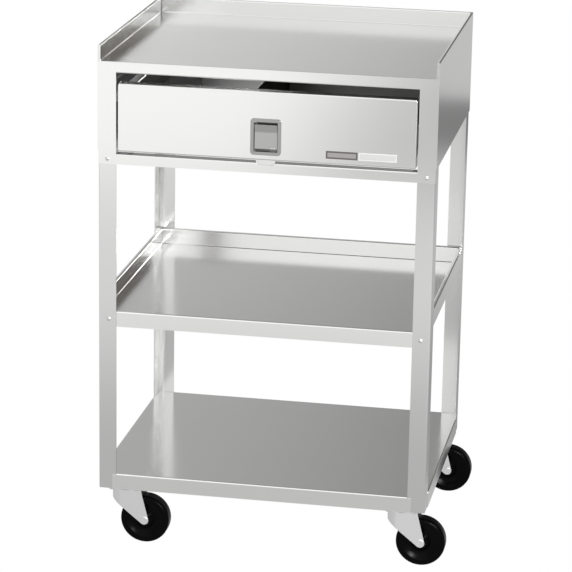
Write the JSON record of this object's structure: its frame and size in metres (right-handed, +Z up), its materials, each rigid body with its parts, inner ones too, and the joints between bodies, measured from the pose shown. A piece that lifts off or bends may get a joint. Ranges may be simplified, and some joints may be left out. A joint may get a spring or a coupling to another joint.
{
  "type": "instrument trolley",
  "caption": "Folded stainless-steel trolley with a raised-edge top, a latched drawer, a tray-edged middle shelf, a flat lower shelf and swivel casters.",
  "frame": {"origin": "on the floor, under the middle of the top", "axes": "+X to the right seen from the drawer's side, +Y from the drawer to the back, +Z up"},
  "size_m": [0.5364, 0.4077, 0.7889],
  "materials": {
    "stainless_sheet": "brushed",
    "stainless_leg": "brushed",
    "stainless_shelf": "brushed",
    "stainless_inner": "brushed",
    "plated_steel": "zinc plated",
    "latch_metal": "satin",
    "caster_zinc": "bright zinc",
    "race_steel": "hardened",
    "wheel_rubber": "hard, semi-gloss",
    "fastener_steel": "bright"
  },
  "bodies": {
    "frame": {"top_tray": "stainless_sheet", "face_frame": "stainless_sheet", "leg_front_left": "stainless_leg", "leg_front_right": "stainless_leg", "leg_rear_left": "stainless_leg", "leg_rear_right": "stainless_leg", "middle_shelf": "stainless_shelf", "lower_shelf": "stainless_shelf", "caster_channel_left": "plated_steel", "caster_channel_right": "plated_steel", "slide_bracket_left": "plated_steel", "slide_bracket_right": "plated_steel", "cabinet_slide_left": "plated_steel", "cabinet_slide_right": "plated_steel", "latch_strike": "plated_steel", "caster_bolts": "fastener_steel", "frame_rivets": "fastener_steel", "shelf_rivets": "fastener_steel", "caster_plate_front_left": "caster_zinc", "caster_plate_front_right": "caster_zinc", "caster_plate_rear_left": "caster_zinc", "caster_plate_rear_right": "caster_zinc", "race_ring_front_left": "race_steel", "race_ring_front_right": "race_steel", "race_ring_rear_left": "race_steel", "race_ring_rear_right": "race_steel", "kingpin_front_left": "caster_zinc", "kingpin_front_right": "caster_zinc", "kingpin_rear_left": "caster_zinc", "kingpin_rear_right": "caster_zinc"},
    "drawer": {"drawer_front": "stainless_sheet", "drawer_box": "stainless_inner", "drawer_divider_left": "stainless_inner", "drawer_divider_right": "stainless_inner", "drawer_slide_left": "plated_steel", "drawer_slide_right": "plated_steel", "latch_pan": "latch_metal", "latch_pin": "latch_metal", "latch_spring": "plated_steel", "latch_guide": "plated_steel"},
    "paddle": {"latch_paddle": "latch_metal"},
    "bolt": {"latch_bolt": "plated_steel"},
    "swivel_front_left": {"fork_front_left": "caster_zinc", "axle_front_left": "caster_zinc"},
    "roller_front_left": {"wheel_front_left": "wheel_rubber", "hub_bush_front_left": "race_steel"},
    "swivel_front_right": {"fork_front_right": "caster_zinc", "axle_front_right": "caster_zinc"},
    "roller_front_right": {"wheel_front_right": "wheel_rubber", "hub_bush_front_right": "race_steel"},
    "swivel_rear_left": {"fork_rear_left": "caster_zinc", "axle_rear_left": "caster_zinc"},
    "roller_rear_left": {"wheel_rear_left": "wheel_rubber", "hub_bush_rear_left": "race_steel"},
    "swivel_rear_right": {"fork_rear_right": "caster_zinc", "axle_rear_right": "caster_zinc"},
    "roller_rear_right": {"wheel_rear_right": "wheel_rubber", "hub_bush_rear_right": "race_steel"}
  },
  "joints": [
    {"name": "drawer_travel", "type": "slide", "parent": "frame", "child": "drawer", "axis": [0, -1, 0], "range_m": [0, 0.27]},
    {"name": "paddle_pull", "type": "hinge", "parent": "drawer", "child": "paddle", "pos_m": [0, -0.1987, 0.6464], "axis": [1, 0, 0], "range_deg": [0, 40], "stiffness_Nm_per_rad": 0.04, "springref_deg": -17.19},
    {"name": "bolt_rise", "type": "slide", "parent": "drawer", "child": "bolt", "axis": [0, 0, 1], "range_m": [0, 0.00418]},
    {"name": "swivel_front_left", "type": "hinge", "parent": "frame", "child": "swivel_front_left", "pos_m": [-0.2157, -0.1649, 0.09], "axis": [0, 0, 1], "continuous": true},
    {"name": "spin_front_left", "type": "hinge", "parent": "swivel_front_left", "child": "roller_front_left", "pos_m": [-0.1871, -0.1649, 0.0381], "axis": [0, 1, 0], "continuous": true},
    {"name": "swivel_front_right", "type": "hinge", "parent": "frame", "child": "swivel_front_right", "pos_m": [0.2157, -0.1649, 0.09], "axis": [0, 0, 1], "continuous": true},
    {"name": "spin_front_right", "type": "hinge", "parent": "swivel_front_right", "child": "roller_front_right", "pos_m": [0.2443, -0.1649, 0.0381], "axis": [0, 1, 0], "continuous": true},
    {"name": "swivel_rear_left", "type": "hinge", "parent": "frame", "child": "swivel_rear_left", "pos_m": [-0.2157, 0.1649, 0.09], "axis": [0, 0, 1], "continuous": true},
    {"name": "spin_rear_left", "type": "hinge", "parent": "swivel_rear_left", "child": "roller_rear_left", "pos_m": [-0.1871, 0.1649, 0.0381], "axis": [0, 1, 0], "continuous": true},
    {"name": "swivel_rear_right", "type": "hinge", "parent": "frame", "child": "swivel_rear_right", "pos_m": [0.2157, 0.1649, 0.09], "axis": [0, 0, 1], "continuous": true},
    {"name": "spin_rear_right", "type": "hinge", "parent": "swivel_rear_right", "child": "roller_rear_right", "pos_m": [0.2443, 0.1649, 0.0381], "axis": [0, 1, 0], "continuous": true}
  ],
  "couplings": [
    {"joint": "paddle_pull", "follows": "bolt_rise", "rad_per_m": 167.09}
  ]
}
